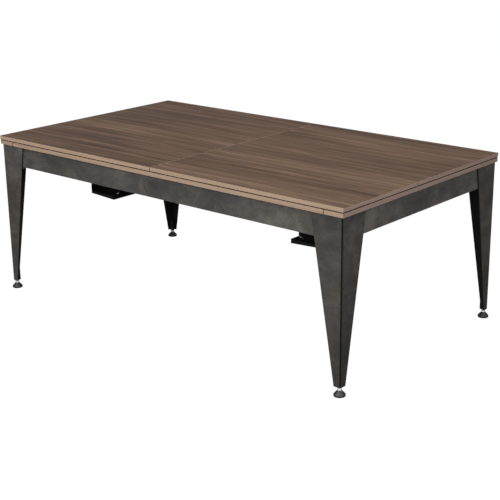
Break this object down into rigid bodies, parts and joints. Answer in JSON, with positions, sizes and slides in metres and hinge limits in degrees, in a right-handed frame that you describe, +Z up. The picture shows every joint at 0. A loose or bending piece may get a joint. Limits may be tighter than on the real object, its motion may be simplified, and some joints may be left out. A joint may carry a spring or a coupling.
{
  "type": "convertible pool and dining table",
  "caption": "Pool table in its dining form: two walnut-look leaves over the rails, dark steel aprons, tapered folded steel legs on levelling feet and a lifting slate bed.",
  "frame": {"origin": "on the floor below the centre of the table", "axes": "+X along the table to its right end seen from the front, +Y from the front to the back, +Z up"},
  "size_m": [2.09, 1.175, 0.787],
  "materials": {
    "walnut": "satin wood-grain laminate",
    "birch": "sanded",
    "dark_steel": "satin, mottled anthracite",
    "black_steel": "matt black powder coat",
    "black_paint": "gloss black",
    "chrome": "polished",
    "zinc": "zinc plated",
    "black_plastic": "satin moulded",
    "pocket_rubber": "moulded",
    "cloth": "napless wool cloth",
    "slate": "honed",
    "felt": "felt"
  },
  "bodies": {
    "leg_frame": {"cross_beams": "black_steel", "end_frame_beams": "black_steel", "foot_locknuts": "chrome", "frame_bolts": "zinc", "gas_cylinders": "black_paint", "leg_back_left": "dark_steel", "leg_back_right": "dark_steel", "leg_front_left": "dark_steel", "leg_front_right": "dark_steel", "lever_pivots": "zinc", "lift_tray_left": "black_steel", "lift_tray_right": "black_steel", "long_frame_beams": "black_steel"},
    "table_bed": {"apron_back": "dark_steel", "apron_front": "dark_steel", "apron_left": "dark_steel", "apron_right": "dark_steel", "bed_cloth": "cloth", "bed_cross_tubes": "black_steel", "bed_long_tubes": "black_steel", "cushion_back_left": "cloth", "cushion_back_right": "cloth", "cushion_front_left": "cloth", "cushion_front_right": "cloth", "cushion_left": "cloth", "cushion_right": "cloth", "gas_rods": "chrome", "pocket_back_left": "pocket_rubber", "pocket_back_middle": "pocket_rubber", "pocket_back_right": "pocket_rubber", "pocket_front_left": "pocket_rubber", "pocket_front_middle": "pocket_rubber", "pocket_front_right": "pocket_rubber", "rail_bolts": "zinc", "rail_cap_back": "walnut", "rail_cap_front": "walnut", "rail_cap_left": "walnut", "rail_cap_right": "walnut", "slate": "slate", "sub_rail_back": "birch", "sub_rail_front": "birch", "sub_rail_left": "birch", "sub_rail_right": "birch"},
    "leaf_left": {"dining_leaf_left": "walnut", "leaf_pads_left": "felt", "leaf_battens_left": "birch"},
    "lever_left": {"release_lever_left": "zinc"},
    "leaf_right": {"dining_leaf_right": "walnut", "leaf_pads_right": "felt", "leaf_battens_right": "birch"},
    "lever_right": {"release_lever_right": "zinc"},
    "foot_front_left": {"foot_pad_front_left": "black_plastic", "foot_stem_front_left": "chrome"},
    "foot_front_right": {"foot_pad_front_right": "black_plastic", "foot_stem_front_right": "chrome"},
    "foot_back_left": {"foot_pad_back_left": "black_plastic", "foot_stem_back_left": "chrome"},
    "foot_back_right": {"foot_pad_back_right": "black_plastic", "foot_stem_back_right": "chrome"}
  },
  "joints": [
    {"name": "bed_lift", "type": "slide", "parent": "leg_frame", "child": "table_bed", "axis": [0, 0, 1], "range_m": [0, 0.055]},
    {"name": "leaf_left_lift_off", "type": "slide", "parent": "table_bed", "child": "leaf_left", "axis": [0, 0, 1], "range_m": [0, 0.15]},
    {"name": "leaf_right_lift_off", "type": "slide", "parent": "table_bed", "child": "leaf_right", "axis": [0, 0, 1], "range_m": [0, 0.15]},
    {"name": "release_lever_left_pull", "type": "hinge", "parent": "leg_frame", "child": "lever_left", "pos_m": [-0.582, -0.252, 0.495], "axis": [0, 1, 0], "range_deg": [0, 30], "stiffness_Nm_per_rad": 0.05, "springref_deg": -17.19},
    {"name": "release_lever_right_pull", "type": "hinge", "parent": "leg_frame", "child": "lever_right", "pos_m": [0.582, -0.252, 0.495], "axis": [0, -1, 0], "range_deg": [0, 30], "stiffness_Nm_per_rad": 0.05, "springref_deg": -17.19},
    {"name": "foot_front_left_height", "type": "slide", "parent": "leg_frame", "child": "foot_front_left", "axis": [0, 0, -1], "range_m": [-0.003, 0.015]},
    {"name": "foot_front_right_height", "type": "slide", "parent": "leg_frame", "child": "foot_front_right", "axis": [0, 0, -1], "range_m": [-0.003, 0.015]},
    {"name": "foot_back_left_height", "type": "slide", "parent": "leg_frame", "child": "foot_back_left", "axis": [0, 0, -1], "range_m": [-0.003, 0.015]},
    {"name": "foot_back_right_height", "type": "slide", "parent": "leg_frame", "child": "foot_back_right", "axis": [0, 0, -1], "range_m": [-0.003, 0.015]}
  ]
}
